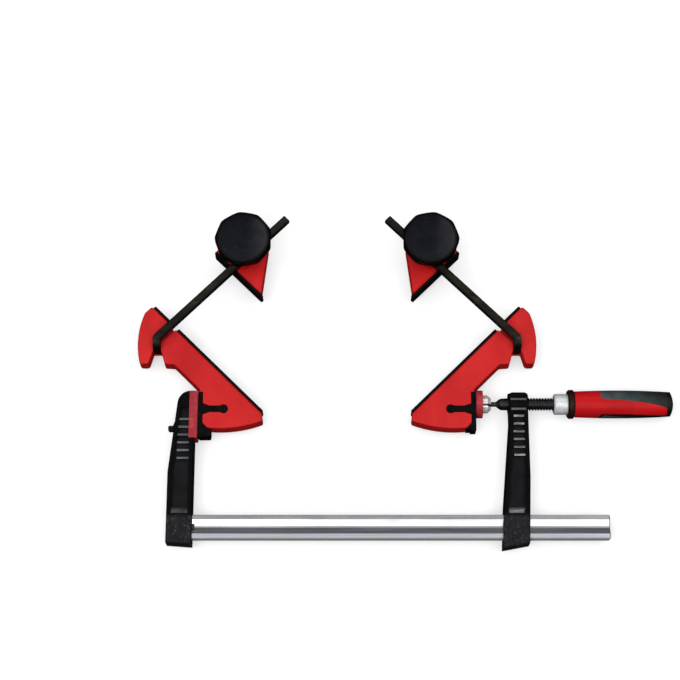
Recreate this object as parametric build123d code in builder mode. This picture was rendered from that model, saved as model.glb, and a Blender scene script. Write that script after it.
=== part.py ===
from build123d import *
import os
from math import atan2, cos, degrees, pi, sqrt

# Miter clamp, lying flat as on a bench, +Z up.
# A bar clamp (rail, fixed bracket, sliding arm, screw and handle) pulls two mirrored jaw units
# together along X. Each unit holds a board between a 45 degree jaw face and a counter jaw that
# slides on a square bar. Lengths are in millimetres.
# While it is modelled, X = 0 is the plane of symmetry of the two jaw units, and Y = 0 is the axis
# of the screw. At the end everything moves so that the origin is under the middle of its box.

# Bar clamp, whole
axis_height = 15.5          # screw axis above the bench
throat = 120.0              # screw axis to the near edge of the rail
half_gap = 145.3            # symmetry plane to the contact plane of each jaw unit
seat_gap = 0.2              # between a clamp jaw and the jaw unit that it presses

# Rail: a profiled bar, with a groove in each wide face
rail_width = 25.0
rail_thickness = 12.0
rail_land = 5.0             # flat beside the groove
rail_groove_slope = 6.6
rail_groove_depth = 2.6
rail_edge = 1.6
rail_end_chamfer = 0.8
rail_length = 453.0
rail_inset = 2.3            # from the outer side of the bracket to the end of the rail

# Both cast arms: flanges around a recessed web, with a ladder of ribs
arm_thickness = 20.0
arm_flange = 4.5
arm_web_recess = 4.5
arm_edge = 1.0
recess_end = 5.0            # from the rail up to where the recess starts to rise out of the web
rib_width = 2.6
rib_pitch = 8.4
rib_count = 6
rib_height = 3.2
rib_overrun = 0.75          # a rib runs this far into the flange on each side

# Fixed bracket
bracket_width = 26.5
bracket_head_width = 17.0
bracket_head_height = 12.5  # top of the head above the screw axis
bracket_crown = 14.0        # length of the round shoulder, along X
bracket_taper = 45.0        # from the rail to where the outer side starts to lean in
bracket_foot = 6.5          # cast wall beyond the rail
bracket_foot_slant = 2.0
bracket_step = 1.3          # from the inner side out to the back of the red cap
bracket_recess_drop = 6.0
bracket_rib_middle = -39.5
lug_length = 6.0
lug_width = 5.2
lug_thickness = 7.0
lug_drop = 27.0             # below the screw axis
lug_inset = 4.6
lug_corner = 1.5
lug_gusset = 11.8           # height of the gusset above the lug
lug_gusset_inset = 5.0      # from the lug's end in to the gusset's foot

# Wedges that lock the rail in the bracket
wedge_width = 4.6
wedge_length = 24.0
wedge_proud = 2.6

# Red cap on the fixed jaw
cap_face = 4.5              # plastic in front of the jaw
cap_wrap = 4.5              # how far its sides reach back
cap_wall = 2.7
cap_proud = 0.5             # its sides stand this far outside the arm
cap_drop = 38.9             # lower end, below the screw axis
cap_rise = 12.0
cap_edge = 1.5

# Sliding arm
head_width = 19.9
head_height = 10.5
head_drop = 21.0            # straight side below the screw axis
head_corner = 4.0
head_recess_drop = 11.0
foot_width = 28.2
foot_lean = 2.4
foot_rise = 10.0            # the foot's inner side, from the rail up
foot_margin = 5.0           # cast wall beyond the rail
foot_slant = 5.3
foot_outer_lean = 2.8
foot_outer_rise = 40.0
arm_rib_middle = -36.0
window_clearance = 0.35

# Screw
thread_radius = 6.7
thread_clearance = 0.05
shank_radius = 6.3
tang_radius = 5.3
neck_radius = 2.5
neck_length = 1.0           # neck outside the hub
ball_radius = 6.0
cone_length = 17.0
plain_length = 1.6          # plain stretch between the cone and the head
thread_lead_in = 3.0        # the thread starts this far inside the head
thread_out = 27.7           # thread that shows between head and handle

# Pressure plate with its ball joint
plate_radius = 13.2
plate_thickness = 4.0
plate_cap_wall = 1.4
plate_cap_face = 2.0
plate_cap_lip = 1.2
plate_cap_hold = 1.5        # the lip reaches this far over the disc
plate_cap_edge = 1.0
hub_length = 8.7
hub_radius = 9.4
hub_root = 1.5
hub_crimp = 3.5             # length of the crimped end
hub_crimp_wall = 1.0
hub_mouth_radius = 5.2
ball_gap = 0.15
liner_wall = 1.2
liner_half_length = 3.2
ball_set_back = 3.2         # ball centre behind the disc

# Handle
ferrule_radius = 10.9
ferrule_length = 14.3
ferrule_edge = 1.2
ferrule_socket = 7.0        # depth of its thread hole
collar_radius = 15.3
collar_length = 7.2
collar_edge = 1.5
grip_length = 100.6
grip_root_radius = 13.6
grip_belly_radius = 14.7
grip_tail_radius = 12.9
grip_belly = 45.0           # from the collar to the widest place
tang_length = 50.0          # tang inside the grip
end_cap_length = 3.4
insert_depth = 1.4
insert_start = 27.0         # from the collar to the tip of a soft insert
insert_width = 22.4
insert_corner = 4.0
insert_turn = -45.0         # degrees, from the top of the handle
insert_slant = 3.5          # degrees, against the handle's axis
insert_tip_side = 2.4       # the tip lies this far off the middle of the tongue
ferrule_pin_radius = 1.5
ferrule_pin_place = 10.7
ferrule_pin_sink = 0.3

# Jaw body
jaw_floor = 8.0             # underside above the bench, so that the screw presses at mid-height
jaw_thickness = 18.0
jaw_edge = 2.0
jaw_foot_edge = 1.0
jaw_depth = 31.0            # face to the parallel underside
plate_clearance = 0.1       # from the plate's cap up to that underside
sole_drop = 8.25            # from the nose down to the sole
sole_camber = 1.5
nose_place = 108.0          # along the face, from the apex
nose_length = 8.0
nose_lean = 0.9
nose_corner = 3.0
heel_place = 5.0            # inwards from the contact pad's back
heel_rise = 0.5
heel_corner = 6.0
sole_place = 13.0
contact_lip = 1.0           # the jaw body stays this far behind the contact plane
contact_rise = 10.0
contact_corner = 3.0
contact_top_corner = 2.0
lobe_before = 32.0          # along the face, this far before the hook slot
lobe_corner = 2.5
lobe_rise = 0.7

# Hook slot of the jaw body, and the ear beyond it
slot_place = 244.0          # the bar's centre line, along the face from the apex
slot_clearance = 0.3
slot_mouth = 11.0
slot_throat = 10.0
slot_throat_depth = 8.0
slot_branch_depth = 24.0
slot_web = 5.0              # floor of the slot, which joins the ear to the body
hook_depth = 25.4           # the bar turns into its lower branch this far below the jaw face
notch_corner = 1.5
notch_flare = 4.2           # each side of the notch leans back this far
notch_depth = 14.4          # from the notch's end down to the toe and the lobe
ear_face = 32.5             # along the face, from the slot to the tip of the ear
ear_tip_corner = 2.5
ear_width = 16.4
ear_waist_drop = 5.0        # from the bar's turn down to where the back of the ear is widest
ear_shoulder_rise = 31.5
ear_shoulder_lean = 6.2
ear_shoulder_corner = 8.0
toe_lean = 3.0
toe_corner = 3.5

# Rubber facings of the jaws
facing_thickness = 3.0
facing_margin = 1.0         # a facing ends this far from the edges of its jaw
facing_edge = 0.8

# Contact pad, held by a rib in a keyhole
contact_pad_thickness = 5.0
pad_shy = 2.56              # from the upper corner of the contact side down to the pad
pad_overhang = 0.5          # the pad reaches this far below the sole
key_inset = 21.4            # round end of the keyhole behind the pad
key_rise = 21.0             # keyhole above the sole
key_radius = 5.0
key_neck = 7.4
key_root = 12.5
key_root_length = 7.0
key_clearance = 0.15
gusset_rise = 9.0           # the pad widens below here, to fill the jaw body's lower corner
gusset_length = 11.0
left_heel_length = 13.7
left_heel_drop = 8.0
left_heel_corner = 2.0
right_heel_length = 6.0
right_heel_drop = 1.4
right_heel_corner = 0.8

# Hooked bar
bar_size = 8.0
bar_edge = 0.8
bar_rise = 3.5              # underside of the bar above the jaw body
bar_bend_inner = 0.6        # inner radius of its two bends
bar_tail = 36.0             # bar behind the counter jaw
hook_run = 0.6              # straight between the two bends
hook_seat = 0.3
stop_pin_radius = 1.5
stop_pin_proud = 2.0
stop_pin_inset = 5.0

# Counter jaw
board_width = 86.0          # jaw face to counter jaw face
slider_clearance = 0.15
slider_bottom = 10.0
slider_jaw_top = 28.0
slider_top_wall = 5.5       # over the bar
slider_depth = 45.0
slider_before = 43.0        # face of the counter jaw, before the bar and after it
slider_after = 29.0
slider_tip = 2.5
slider_tip_corner = 1.5
slider_heel = 35.0          # along the face, from the tip to the end of the long slope
slider_heel_corner = 8.0
slider_bevel = 12.0
slider_bevel_depth = 14.0
slider_edge = 1.2
slider_foot_edge = 1.0
housing_near = 9.0          # from the bar's axis to the housing's plain side
housing_far = 12.5          # from the knob's axis to the housing's split side
housing_length = 37.0
housing_corner = 5.0
slit_width = 1.6

# Clamp screw and knob
knob_side = 9.5             # knob axis beside the bar's axis
knob_set_back = 26.5        # knob axis behind the counter jaw's face
stud_radius = 4.0
stud_clearance = 0.15
stud_low_end = 11.0
stud_end_chamfer = 1.0
stud_in_knob = 10.0
nut_size = 13.0
nut_height = 6.5
nut_clearance = 0.1
nut_seat = 20.5
washer_radius = 10.0
washer_thickness = 2.0
knob_sides = 9
knob_flat_radius = 29.0
knob_corner_radius = 8.0
knob_rim_height = 10.0
knob_rim_width = 4.0
knob_rim_edge = 1.5
knob_shoulder = 3.0
knob_dome = 4.0
knob_hub_radius = 11.5
knob_hub_flare = 1.0
knob_hub_height = 5.0
knob_under_rise = 2.0
knob_under_slope = 4.0

# Places worked out from those sizes
root2 = sqrt(2)
arm_low = axis_height - arm_thickness / 2
arm_high = axis_height + arm_thickness / 2
rail_near = -throat
rail_middle = rail_near - rail_width / 2
rail_far = rail_near - rail_width
jaw_plane = half_gap + seat_gap
bracket_face = -jaw_plane - cap_face
bracket_inner = bracket_face + bracket_step
bracket_outer = bracket_inner - bracket_width
bracket_side = bracket_face - bracket_head_width
lug_end = bracket_outer + lug_inset - lug_length
rail_start = bracket_outer + rail_inset
disc_front = jaw_plane + plate_cap_face
disc_back = disc_front + plate_thickness
ball_x = disc_back + ball_set_back
hub_back = disc_back + plate_cap_lip + hub_length
cone_end = hub_back + cone_length
head_left = cone_end + plain_length
head_right = head_left + head_width
foot_left = head_right - foot_width
ferrule_start = head_right + thread_out
ferrule_end = ferrule_start + ferrule_length
collar_end = ferrule_end + collar_length
grip_end = collar_end + grip_length
contact_x = half_gap - contact_pad_thickness
plate_cap_radius = plate_radius + plate_cap_wall
apex_depth = jaw_plane - plate_cap_radius - plate_clearance - jaw_depth * root2
lobe_place = slot_place - lobe_before
ear_tip_place = slot_place + ear_face
slider_face_start = slot_place - slider_before
slider_face_end = slot_place + slider_after
jaw_top = jaw_floor + jaw_thickness
slot_floor = jaw_floor + slot_web
bar_low = jaw_top + bar_rise
bar_axis = bar_low + bar_size / 2
slider_back = board_width + slider_depth
bar_end = slider_back + bar_tail
bar_bend_radius = bar_size / 2 + bar_bend_inner
hook_leg = bar_bend_radius * root2 + hook_run
slider_top = bar_low + bar_size + slider_top_wall
knob_along = slot_place + knob_side
knob_across = board_width + knob_set_back
knob_bottom = slider_top + washer_thickness
knob_rim_low = knob_bottom + knob_hub_height
knob_rim_high = knob_rim_low + knob_rim_height
knob_blank_radius = knob_flat_radius / cos(pi / knob_sides)

# The screw, the plate and the handle are turned about the screw axis.
screw_plane = Plane(origin=(0, 0, axis_height), x_dir=(1, 0, 0), z_dir=(0, -1, 0))
screw_axis = Axis((0, 0, axis_height), (1, 0, 0))

# The plane of the right unit's jaw face: local X runs up along the face from the apex, where the two
# jaw faces would meet below the screw axis, and local Y points at the board.
face_plane = Plane(origin=(0, -apex_depth, 0), x_dir=(1, 1, 0), z_dir=(0, 0, 1))


def on_face(along, across):
    """A point of the bench plane, from its place along the jaw face and across it."""
    point = face_plane.from_local_coords((along, across, 0))
    return (point.X, point.Y)


pieces = {}


def keep(builder, name):
    """Names a finished piece."""
    builder.part.label = name
    pieces[name] = builder.part


# Grooves of the rail, one in each wide face: two wide slopes and a narrow floor.
with BuildSketch(Plane.YZ.offset(rail_start)) as rail_grooves:
    for side in (-1, 1):
        with Locations((rail_middle, axis_height + side * rail_thickness / 2)):
            Trapezoid(
                rail_width - 2 * rail_land,
                rail_groove_depth,
                degrees(atan2(rail_groove_depth, rail_groove_slope)),
                align=(Align.CENTER, Align.MIN),
                rotation=90 + 90 * side,
            )

# Rail: a bar with two lands beside each groove.
with BuildPart() as rail:
    with BuildSketch(Plane.YZ.offset(rail_start)):
        with Locations((rail_middle, axis_height)):
            RectangleRounded(rail_width, rail_thickness, rail_edge)
        add(rail_grooves.sketch_local, mode=Mode.SUBTRACT)
    extrude(amount=rail_length)
    chamfer(rail.faces().sort_by(Axis.X)[-1].edges(), length=rail_end_chamfer)
keep(rail, "rail")

# Fixed bracket: a cast arm with flanges, a recessed web with ladder ribs, a lug on its back and a
# closed foot that holds the rail. Its sides are cut back where the red cap grips the jaw.
with BuildPart() as fixed_bracket:
    with BuildSketch(Plane.XY.offset(arm_low)) as bracket_outline:
        with BuildLine():
            bracket_sides = Polyline(
                (bracket_face, bracket_head_height),
                (bracket_face, -cap_drop),
                (bracket_inner, -cap_drop - bracket_step),
                (bracket_inner, rail_far - bracket_foot),
                (bracket_outer, rail_far - bracket_foot + bracket_foot_slant),
                (bracket_outer, rail_near + bracket_taper),
                (bracket_side, 0),
            )
            crown_arc = TangentArc(
                bracket_sides @ 1,
                (bracket_side + bracket_crown, bracket_head_height),
                tangent=bracket_sides % 1,
            )
            Line(crown_arc @ 1, bracket_sides @ 0)
        make_face()
    extrude(amount=arm_thickness)
    chamfer(fixed_bracket.faces().filter_by(Axis.Z).edges().filter_by(GeomType.LINE), length=arm_edge)
    for height, outward in ((arm_low, -1), (arm_high, 1)):
        with BuildSketch(Plane.XY.offset(height)):
            offset(bracket_outline.sketch_local, amount=-arm_flange, kind=Kind.INTERSECTION)
            with Locations((bracket_inner, rail_near + recess_end)):
                Rectangle(
                    3 * bracket_width,
                    throat - recess_end - bracket_recess_drop,
                    align=(Align.CENTER, Align.MIN),
                    mode=Mode.INTERSECT,
                )
        extrude(amount=-outward * arm_web_recess, mode=Mode.SUBTRACT)
        with BuildSketch(Plane.YZ.offset(bracket_outer + arm_flange)):
            with BuildLine():
                Polyline(
                    (rail_near + recess_end, height - outward * arm_web_recess),
                    (rail_near + recess_end - arm_web_recess, height),
                    (rail_near + recess_end, height),
                    close=True,
                )
            make_face()
        extrude(amount=bracket_width - 2 * arm_flange, mode=Mode.SUBTRACT)
        with BuildSketch(Plane.XY.offset(height - outward * arm_web_recess)):
            with Locations(((bracket_face + bracket_side) / 2, bracket_rib_middle)):
                with GridLocations(0, rib_pitch, 1, rib_count):
                    Rectangle(bracket_head_width - 2 * arm_flange + 2 * rib_overrun, rib_width)
        extrude(amount=outward * rib_height)
    with BuildSketch(Plane.YZ.offset(rail_start)):
        with Locations((rail_middle, axis_height)):
            RectangleRounded(rail_width, rail_thickness, rail_edge)
    extrude(amount=bracket_width, mode=Mode.SUBTRACT)
    with BuildSketch(Plane.XY.offset(axis_height)):
        with Locations((lug_end + lug_length, -lug_drop)):
            RectangleRounded(2 * lug_length, lug_width, lug_corner)
        with BuildLine():
            Polyline(
                (lug_end + lug_gusset_inset, -lug_drop),
                (lug_end + lug_gusset_inset, lug_width / 2 - lug_drop),
                (bracket_side, lug_width / 2 - lug_drop + lug_gusset),
                (bracket_side, -lug_drop),
                close=True,
            )
        make_face()
    extrude(amount=lug_thickness / 2, both=True)
    for height, outward in ((arm_low, -1), (arm_high, 1)):
        with BuildSketch(Plane.XY.offset(height - outward * (cap_wall - cap_proud))):
            with Locations((bracket_face - cap_wrap, -cap_drop)):
                Rectangle(2 * cap_wrap, cap_drop + throat, align=(Align.MIN, Align.MIN))
        extrude(amount=outward * cap_wall, mode=Mode.SUBTRACT)
keep(fixed_bracket, "fixed_bracket")

# Wedges in the rail's grooves, driven in from the inner side of the bracket.
with BuildPart() as rail_wedges:
    with BuildSketch(Plane.YZ.offset(rail_start)):
        add(rail_grooves.sketch_local)
    extrude(amount=rail_length)
    with BuildSketch(Plane.XY.offset(axis_height)):
        with Locations((bracket_inner + wedge_proud, rail_middle)):
            Rectangle(wedge_length, wedge_width, align=(Align.MAX, Align.CENTER))
    extrude(amount=rail_thickness, both=True, mode=Mode.INTERSECT)
keep(rail_wedges, "rail_wedges")

# Red cap over the fixed jaw: a channel open to the bracket.
with BuildPart() as fixed_jaw_cap:
    with BuildSketch(Plane.XY.offset(arm_low - cap_proud)):
        with Locations((bracket_face - cap_wrap, -cap_drop)):
            Rectangle(cap_wrap + cap_face, cap_drop + cap_rise, align=(Align.MIN, Align.MIN))
    extrude(amount=arm_thickness + 2 * cap_proud)
    fillet(fixed_jaw_cap.faces().sort_by(Axis.X)[-1].edges(), radius=cap_edge)
    with BuildSketch(Plane.XY.offset(arm_low - cap_proud + cap_wall)):
        with Locations((bracket_face, 0)):
            Rectangle(2 * cap_wrap, 2 * throat, align=(Align.MAX, Align.CENTER))
    extrude(amount=arm_thickness + 2 * cap_proud - 2 * cap_wall, mode=Mode.SUBTRACT)
keep(fixed_jaw_cap, "fixed_jaw_cap")

# Sliding arm: head with the hole for the screw, tapering web, foot with the rail's window.
with BuildPart() as sliding_arm:
    with BuildSketch(Plane.XY.offset(arm_low)) as arm_outline:
        with BuildLine():
            Polyline(
                (head_left, head_height),
                (head_left, -head_drop),
                (foot_left, rail_near + foot_rise),
                (foot_left - foot_lean, rail_far - foot_margin - foot_slant),
                (head_right - foot_outer_lean, rail_far - foot_margin),
                (head_right, rail_near + foot_outer_rise),
                (head_right, head_height),
                close=True,
            )
        make_face()
        fillet(arm_outline.vertices().group_by(Axis.Y)[-1], radius=head_corner)
    extrude(amount=arm_thickness)
    chamfer(sliding_arm.faces().filter_by(Axis.Z).edges().filter_by(GeomType.LINE), length=arm_edge)
    for height, outward in ((arm_low, -1), (arm_high, 1)):
        with BuildSketch(Plane.XY.offset(height)):
            offset(arm_outline.sketch_local, amount=-arm_flange, kind=Kind.INTERSECTION)
            with Locations((head_left, rail_near + recess_end)):
                Rectangle(
                    3 * foot_width,
                    throat - recess_end - head_recess_drop,
                    align=(Align.CENTER, Align.MIN),
                    mode=Mode.INTERSECT,
                )
        extrude(amount=-outward * arm_web_recess, mode=Mode.SUBTRACT)
        with BuildSketch(Plane.YZ.offset(foot_left + arm_flange)):
            with BuildLine():
                Polyline(
                    (rail_near + recess_end, height - outward * arm_web_recess),
                    (rail_near + recess_end - arm_web_recess, height),
                    (rail_near + recess_end, height),
                    close=True,
                )
            make_face()
        extrude(amount=foot_width - foot_outer_lean - 2 * arm_flange, mode=Mode.SUBTRACT)
        with BuildSketch(Plane.XY.offset(height - outward * arm_web_recess)):
            with Locations(((head_left + head_right) / 2, arm_rib_middle)):
                with GridLocations(0, rib_pitch, 1, rib_count):
                    Rectangle(head_width - 2 * arm_flange + 2 * rib_overrun, rib_width)
        extrude(amount=outward * rib_height)
    with BuildSketch(Plane.YZ.offset(foot_left - foot_width)):
        with Locations((rail_middle, axis_height)):
            Rectangle(rail_width + 2 * window_clearance, rail_thickness + 2 * window_clearance)
    extrude(amount=3 * foot_width, mode=Mode.SUBTRACT)
    with BuildSketch(Plane.YZ.offset(head_left - head_width)):
        with Locations((0, axis_height)):
            Circle(thread_radius + thread_clearance)
    extrude(amount=3 * head_width, mode=Mode.SUBTRACT)
keep(sliding_arm, "sliding_arm")

# Spindle: ball, neck, cone, plain stretch and thread, and a tang that runs into the grip.
with BuildPart() as spindle:
    with BuildSketch(screw_plane):
        with BuildLine():
            ball_arc = ThreePointArc(
                (ball_x - ball_radius, 0),
                (ball_x, ball_radius),
                (ball_x + sqrt(ball_radius**2 - neck_radius**2), neck_radius),
            )
            Polyline(
                ball_arc @ 1,
                (hub_back + neck_length, neck_radius),
                (cone_end, shank_radius),
                (head_left + thread_lead_in, shank_radius),
                (head_left + thread_lead_in, thread_radius),
                (ferrule_start + ferrule_socket, thread_radius),
                (ferrule_start + ferrule_socket, tang_radius),
                (collar_end + tang_length, tang_radius),
                (collar_end + tang_length, 0),
                ball_arc @ 0,
            )
        make_face()
    revolve(axis=screw_axis)
    with BuildSketch(Plane.XZ):
        with Locations((ferrule_start + ferrule_pin_place, axis_height)):
            Circle(ferrule_pin_radius)
    extrude(amount=ferrule_radius, both=True, mode=Mode.SUBTRACT)
keep(spindle, "spindle")

# Ball liner: a plastic ring, round inside and out, that the ball turns in.
with BuildPart() as ball_liner:
    with Locations((ball_x, 0, axis_height)):
        Sphere(ball_radius + ball_gap + liner_wall)
        Sphere(ball_radius + ball_gap, mode=Mode.SUBTRACT)
        Box(2 * liner_half_length, 4 * ball_radius, 4 * ball_radius, mode=Mode.INTERSECT)
keep(ball_liner, "ball_liner")

# Pressure plate: a disc with a bell-shaped hub around the liner.
with BuildPart() as pressure_plate:
    with BuildSketch(screw_plane):
        with BuildLine():
            Polyline(
                (disc_front, 0),
                (disc_front, plate_radius),
                (disc_back, plate_radius),
                (disc_back, hub_radius + hub_root),
                (disc_back + plate_cap_lip, hub_radius),
                (hub_back - hub_crimp, hub_radius),
                (hub_back, hub_mouth_radius + hub_crimp_wall),
                (hub_back, 0),
                close=True,
            )
        make_face()
    revolve(axis=screw_axis)
    with Locations((ball_x, 0, axis_height)):
        Sphere(ball_radius + 2 * ball_gap + liner_wall, mode=Mode.SUBTRACT)
    with BuildSketch(Plane.YZ.offset(ball_x)):
        with Locations((0, axis_height)):
            Circle(hub_mouth_radius)
    extrude(amount=hub_length, mode=Mode.SUBTRACT)
keep(pressure_plate, "pressure_plate")

# Red cap, snapped over the edge of the disc.
with BuildPart() as plate_cap:
    with BuildSketch(screw_plane):
        with BuildLine():
            Polyline(
                (jaw_plane, 0),
                (jaw_plane, plate_cap_radius - plate_cap_edge),
                (jaw_plane + plate_cap_edge, plate_cap_radius),
                (disc_back + plate_cap_lip, plate_cap_radius),
                (disc_back + plate_cap_lip, plate_radius - plate_cap_hold),
                (disc_back, plate_radius - plate_cap_hold),
                (disc_back, plate_radius),
                (disc_front, plate_radius),
                (disc_front, 0),
                close=True,
            )
        make_face()
    revolve(axis=screw_axis)
keep(plate_cap, "plate_cap")

# Ferrule, screwed on the thread and pinned.
with BuildPart() as handle_ferrule:
    with BuildSketch(screw_plane):
        with BuildLine():
            Polyline(
                (ferrule_start, thread_radius),
                (ferrule_start, ferrule_radius - ferrule_edge),
                (ferrule_start + ferrule_edge, ferrule_radius),
                (ferrule_end, ferrule_radius),
                (ferrule_end, tang_radius),
                (ferrule_start + ferrule_socket, tang_radius),
                (ferrule_start + ferrule_socket, thread_radius),
                close=True,
            )
        make_face()
    revolve(axis=screw_axis)
    with BuildSketch(Plane.XZ):
        with Locations((ferrule_start + ferrule_pin_place, axis_height)):
            Circle(ferrule_pin_radius)
    extrude(amount=2 * ferrule_radius, both=True, mode=Mode.SUBTRACT)
keep(handle_ferrule, "handle_ferrule")

with BuildPart() as ferrule_pin:
    with BuildSketch(Plane.XZ):
        with Locations((ferrule_start + ferrule_pin_place, axis_height)):
            Circle(ferrule_pin_radius)
    extrude(amount=ferrule_radius - ferrule_pin_sink, both=True)
keep(ferrule_pin, "ferrule_pin")

# Collar between ferrule and grip.
with BuildPart() as handle_collar:
    with BuildSketch(screw_plane):
        with BuildLine():
            Polyline(
                (ferrule_end, tang_radius),
                (ferrule_end, collar_radius - collar_edge),
                (ferrule_end + collar_edge, collar_radius),
                (collar_end - collar_edge, collar_radius),
                (collar_end, collar_radius - collar_edge),
                (collar_end, tang_radius),
                close=True,
            )
        make_face()
    revolve(axis=screw_axis)
keep(handle_collar, "handle_collar")

# Side of the grip, from the collar to the end.
with BuildLine() as grip_side:
    Spline(
        (collar_end, grip_root_radius),
        (collar_end + grip_belly, grip_belly_radius),
        (grip_end, grip_tail_radius),
    )

# Soft inserts: a thin turned skin, cut to two tongues on opposite sides that open to the tail.
with BuildPart() as insert_tongues:
    for turn in (0, 180):
        with BuildSketch(screw_plane.rotated((insert_turn + turn - 90, 0, 0))) as tongue:
            with Locations(Location((collar_end + insert_start, insert_tip_side), -insert_slant)):
                Rectangle(grip_length, insert_width, align=(Align.MIN, Align.CENTER))
            fillet(tongue.vertices().sort_by(Axis.X)[:2], radius=insert_corner)
        extrude(amount=2 * collar_radius)

with BuildPart() as handle_inserts:
    with BuildSketch(screw_plane):
        with BuildLine():
            add(grip_side.line)
            Polyline(
                grip_side.line @ 1,
                (grip_end, grip_tail_radius - insert_depth),
                (collar_end, grip_root_radius - insert_depth),
                grip_side.line @ 0,
            )
        make_face()
    revolve(axis=screw_axis)
    add(insert_tongues.part, mode=Mode.INTERSECT)
keep(handle_inserts, "handle_inserts")

# Grip: a turned barrel with beds for the inserts.
with BuildPart() as handle_grip:
    with BuildSketch(screw_plane):
        with BuildLine():
            add(grip_side.line)
            Polyline(
                grip_side.line @ 1,
                (grip_end, 0),
                (collar_end + tang_length, 0),
                (collar_end + tang_length, tang_radius),
                (collar_end, tang_radius),
                grip_side.line @ 0,
            )
        make_face()
    revolve(axis=screw_axis)
    add(handle_inserts.part, mode=Mode.SUBTRACT)
keep(handle_grip, "handle_grip")

# Rounded end of the handle.
with BuildPart() as handle_end_cap:
    with BuildSketch(screw_plane):
        with BuildLine():
            Polyline((grip_end + end_cap_length, 0), (grip_end, 0), (grip_end, grip_tail_radius))
            TangentArc(
                (grip_end + end_cap_length, 0),
                (grip_end, grip_tail_radius),
                tangent=(0, 1),
            )
        make_face()
    revolve(axis=screw_axis)
keep(handle_end_cap, "handle_end_cap")

# The pieces of a jaw unit are modelled on the right, and mirrored for the left.
unit = {}

# Places on the jaw body's outline
nose_top = on_face(nose_place, -facing_thickness)
nose_low = (nose_top[0] - nose_lean, nose_top[1] - nose_length)
jaw_bottom = nose_low[1] - sole_drop
sole_end = (contact_x - sole_place, jaw_bottom)
heel = (contact_x - heel_place, jaw_bottom + heel_rise)
contact_low = (half_gap - contact_lip, jaw_bottom + contact_rise)
contact_high = (half_gap - contact_lip, half_gap - contact_lip - apex_depth - jaw_depth * root2)
elbow = on_face(slot_place, -hook_depth)
slot_left = elbow[0] - bar_size / 2 - slot_clearance
slot_right = elbow[0] + bar_size / 2 + slot_clearance
notch_top = elbow[1] - hook_leg - bar_size / 2 - slot_clearance
toe_end = notch_top - notch_depth
lobe = on_face(lobe_place, -jaw_depth)
lobe_low = (slot_left - notch_flare, lobe[1] + lobe_rise)
toe_inner = (slot_right + notch_flare, toe_end)
ear_outer = slot_right + ear_width
toe_outer = (ear_outer - toe_lean, toe_end)
shoulder = (ear_outer - ear_shoulder_lean, elbow[1] + ear_shoulder_rise)
ear_tip = on_face(ear_tip_place, -facing_thickness)

# Places on the contact pad
pad_top = contact_high[1] - pad_shy
pad_bottom = jaw_bottom - pad_overhang
gusset_top = jaw_bottom + gusset_rise
key_x = contact_x - key_inset
key_y = jaw_bottom + key_rise

# Jaw body: board face at 45 degrees, nose, curved sole, contact side for the clamp, and an ear
# beyond the hook slot. The slot's floor joins the ear to the body. The contact pad's bed is a
# rebate and a keyhole.
with BuildSketch() as jaw_outline:
    with BuildLine():
        ThreePointArc(nose_low, ((nose_low[0] + sole_end[0]) / 2, jaw_bottom + sole_camber), sole_end)
        Polyline(
            sole_end,
            heel,
            contact_low,
            contact_high,
            lobe,
            lobe_low,
            (slot_left, notch_top),
            (slot_right, notch_top),
            toe_inner,
            toe_outer,
        )
        ThreePointArc(toe_outer, (ear_outer, elbow[1] - ear_waist_drop), shoulder)
        Polyline(shoulder, ear_tip, nose_top, nose_low)
    make_face()
    for place, radius in (
        (nose_top, nose_corner),
        (nose_low, nose_corner),
        (heel, heel_corner),
        (contact_low, contact_corner),
        (contact_high, contact_top_corner),
        (lobe, lobe_corner),
        (lobe_low, lobe_corner),
        ((slot_left, notch_top), notch_corner),
        ((slot_right, notch_top), notch_corner),
        (toe_inner, toe_corner),
        (toe_outer, toe_corner),
        (shoulder, ear_shoulder_corner),
        (ear_tip, ear_tip_corner),
    ):
        fillet(jaw_outline.vertices().sort_by_distance(place)[0], radius=radius)

with BuildSketch() as pad_bed:
    with Locations((contact_x, pad_top)):
        Rectangle(2 * contact_pad_thickness, pad_top - pad_bottom, align=(Align.MIN, Align.MAX))
    with BuildLine():
        Polyline(
            (half_gap, key_y + key_root / 2),
            (contact_x, key_y + key_root / 2),
            (contact_x - key_root_length, key_y + key_neck / 2),
            (key_x, key_y + key_neck / 2),
            (key_x, key_y - key_neck / 2),
            (contact_x - key_root_length, key_y - key_neck / 2),
            (contact_x, key_y - key_root / 2),
            (half_gap, key_y - key_root / 2),
            close=True,
        )
    make_face()
    with Locations((key_x, key_y)):
        Circle(key_radius)

with BuildPart() as jaw_body:
    with BuildSketch(Plane.XY.offset(jaw_floor)):
        add(jaw_outline.sketch)
    extrude(amount=jaw_thickness)
    fillet(jaw_body.faces().sort_by(Axis.Z)[-1].edges(), radius=jaw_edge)
    chamfer(jaw_body.faces().sort_by(Axis.Z)[0].edges(), length=jaw_foot_edge)
    with BuildSketch(Plane.XY.offset(slot_floor)):
        with BuildLine():
            Polyline(
                on_face(slot_place - slot_mouth / 2, 0),
                on_face(slot_place - slot_throat / 2, -slot_branch_depth),
                (slot_left, elbow[1] - bar_size / 2),
                (slot_left, 0),
                (slot_right, 0),
                (slot_right, elbow[1]),
                on_face(slot_place + slot_throat / 2, -slot_branch_depth),
                on_face(slot_place + slot_throat / 2, -slot_throat_depth),
                on_face(slot_place + slot_mouth / 2, 0),
                close=True,
            )
        make_face()
    extrude(amount=jaw_thickness, mode=Mode.SUBTRACT)
    with BuildSketch(Plane.XY.offset(jaw_floor)):
        add(pad_bed.sketch)
    extrude(amount=jaw_thickness, mode=Mode.SUBTRACT)
unit["jaw_body"] = jaw_body

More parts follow.
